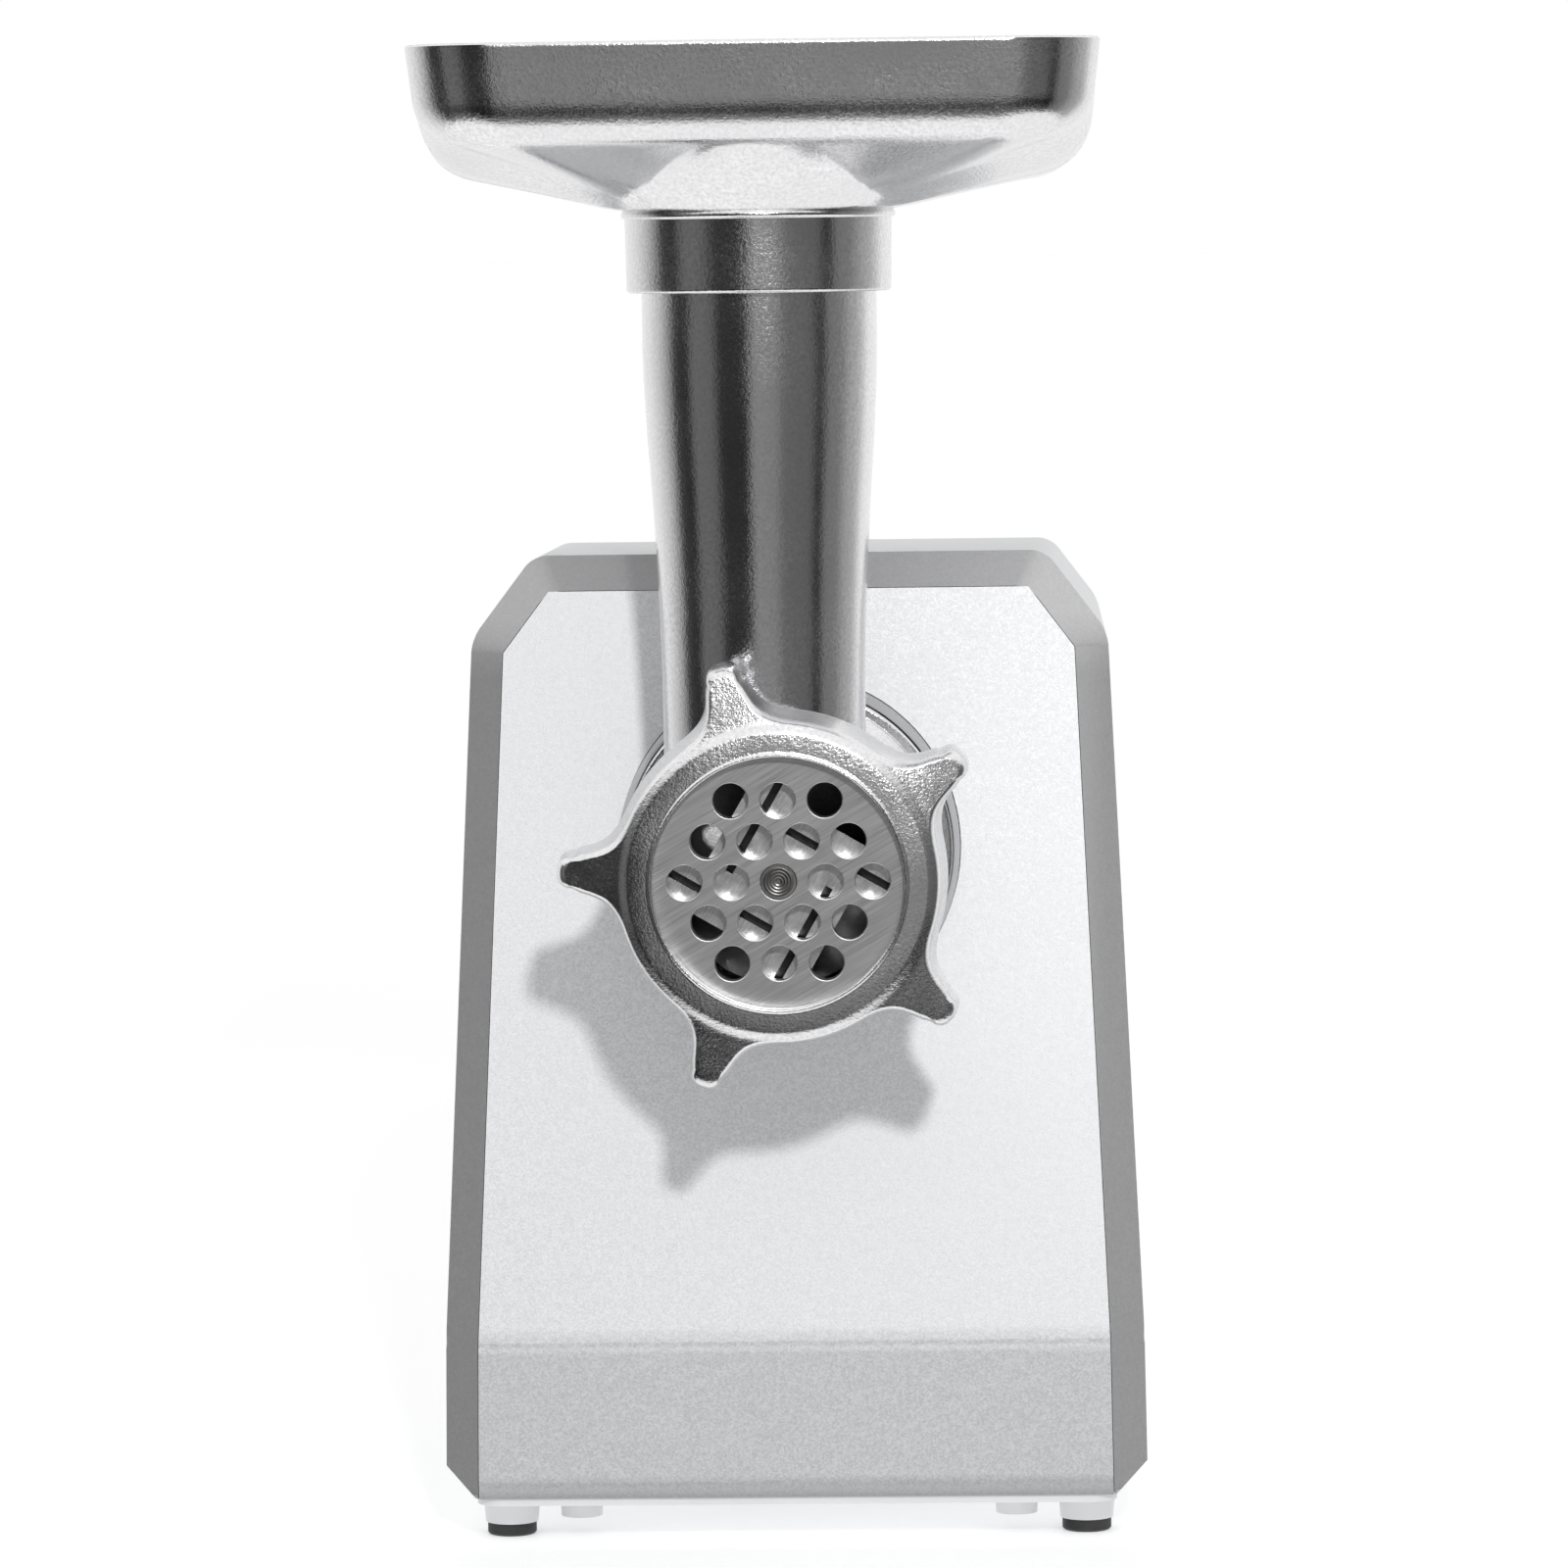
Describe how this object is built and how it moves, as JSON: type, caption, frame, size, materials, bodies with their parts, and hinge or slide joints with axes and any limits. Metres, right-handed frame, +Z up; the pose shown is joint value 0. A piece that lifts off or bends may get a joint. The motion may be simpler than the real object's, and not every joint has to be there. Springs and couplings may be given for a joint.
{
  "type": "electric meat grinder",
  "caption": "Upright electric meat grinder with a cast aluminium head, ring nut, round-hole cutting plate and rectangular feed tray on a bevelled housing.",
  "frame": {"origin": "middle of the bounding box at the bottom of the rubber feet", "axes": "+Z up, the grinding head points to -Y, +X to the right seen from the front"},
  "size_m": [0.1674, 0.2736, 0.35],
  "materials": {
    "cast_aluminium": "polished and tumbled cast aluminium, softly streaked, with fine grain",
    "ground_steel": "ground steel with fine parallel grinding lines",
    "auger_aluminium": "cast aluminium, satin",
    "steel": "plain machined steel",
    "nylon": "moulded nylon",
    "silver_panel": "silver metallic paint with fine sparkle",
    "grey_bezel": "darker silver-grey metallic paint, satin",
    "white_plastic": "white moulded plastic, soft gloss",
    "grey_plastic": "light grey moulded plastic",
    "black_plastic": "black moulded plastic",
    "rubber": "black rubber",
    "zinc_plate": "zinc-plated steel and diecast zinc",
    "laminations": "stacked steel laminations",
    "copper": "enamelled copper",
    "board": "printed circuit board"
  },
  "bodies": {
    "root": {"front_panel": "silver_panel", "front_bezel": "grey_bezel", "rear_housing": "white_plastic", "base_plate": "white_plastic", "foot_front_left": "rubber", "foot_front_right": "rubber", "foot_rear_left": "rubber", "foot_rear_right": "rubber", "base_screws": "steel", "socket_ring": "grey_plastic", "gearbox_front": "zinc_plate", "gearbox_rear": "zinc_plate", "gearbox_screws": "steel", "output_bearing_front": "steel", "output_bearing_rear": "steel", "idler_shaft_1": "steel", "idler_shaft_2": "steel", "stator_core": "laminations", "field_coils": "copper", "motor_bracket_front": "zinc_plate", "motor_bracket_rear": "zinc_plate", "motor_bearing_front": "steel", "motor_bearing_rear": "steel", "motor_screws": "steel", "brush_holder_left": "black_plastic", "brush_holder_right": "black_plastic", "carbon_brush_left": "black_plastic", "carbon_brush_right": "black_plastic", "control_panel": "grey_plastic", "switch_body": "black_plastic", "reverse_switch": "black_plastic", "button_spring": "steel", "control_board": "board", "cord_gland": "rubber", "cord_clamp": "black_plastic"},
    "output": {"output_gear": "nylon", "output_shaft": "steel", "drive_coupling": "nylon", "coupling_screw": "steel", "auger": "auger_aluminium", "knife": "ground_steel"},
    "idler_2": {"idler_gear_2": "nylon"},
    "idler_1": {"idler_gear_1": "nylon"},
    "rotor": {"motor_pinion": "steel", "motor_shaft": "steel", "armature_core": "laminations", "armature_winding": "copper", "commutator": "copper", "cooling_fan": "nylon"},
    "head": {"head_casting": "cast_aluminium", "auger_bushing": "nylon", "cutting_plate": "ground_steel"},
    "nut": {"ring_nut": "cast_aluminium"},
    "tray": {"feed_tray": "cast_aluminium"},
    "rocker": {"power_rocker": "black_plastic"},
    "reverse": {"reverse_button": "black_plastic"}
  },
  "joints": [
    {"name": "output_spin", "type": "hinge", "parent": "root", "child": "output", "pos_m": [0, -0.02, 0.1633], "axis": [0, 1, 0], "continuous": true},
    {"name": "idler_2_spin", "type": "hinge", "parent": "root", "child": "idler_2", "pos_m": [0.018, 0, 0.1215], "axis": [0, 1, 0], "continuous": true},
    {"name": "idler_1_spin", "type": "hinge", "parent": "root", "child": "idler_1", "pos_m": [-0.008, 0, 0.09715], "axis": [0, 1, 0], "continuous": true},
    {"name": "rotor_spin", "type": "hinge", "parent": "root", "child": "rotor", "pos_m": [0, 0.06, 0.06666], "axis": [0, 1, 0], "continuous": true},
    {"name": "head_turn", "type": "hinge", "parent": "root", "child": "head", "pos_m": [0, -0.03, 0.1633], "axis": [0, -1, 0], "range_deg": [0, 40]},
    {"name": "nut_turn", "type": "hinge", "parent": "head", "child": "nut", "pos_m": [0, -0.126, 0.1633], "axis": [0, -1, 0], "range_deg": [0, 1080]},
    {"name": "tray_lift", "type": "slide", "parent": "head", "child": "tray", "axis": [0, 0, 1], "range_m": [0, 0.04]},
    {"name": "rocker_tilt", "type": "hinge", "parent": "root", "child": "rocker", "pos_m": [-0.0762, 0.048, 0.14291], "axis": [0, 1, 0], "range_deg": [-8, 8]},
    {"name": "reverse_press", "type": "slide", "parent": "root", "child": "reverse", "axis": [0.9992, 0, -0.0405], "range_m": [0, 0.003]}
  ],
  "couplings": [
    {"joint": "idler_2_spin", "follows": "output_spin", "ratio": -3.3333},
    {"joint": "idler_1_spin", "follows": "output_spin", "ratio": 12.5},
    {"joint": "rotor_spin", "follows": "output_spin", "ratio": -60.417}
  ]
}
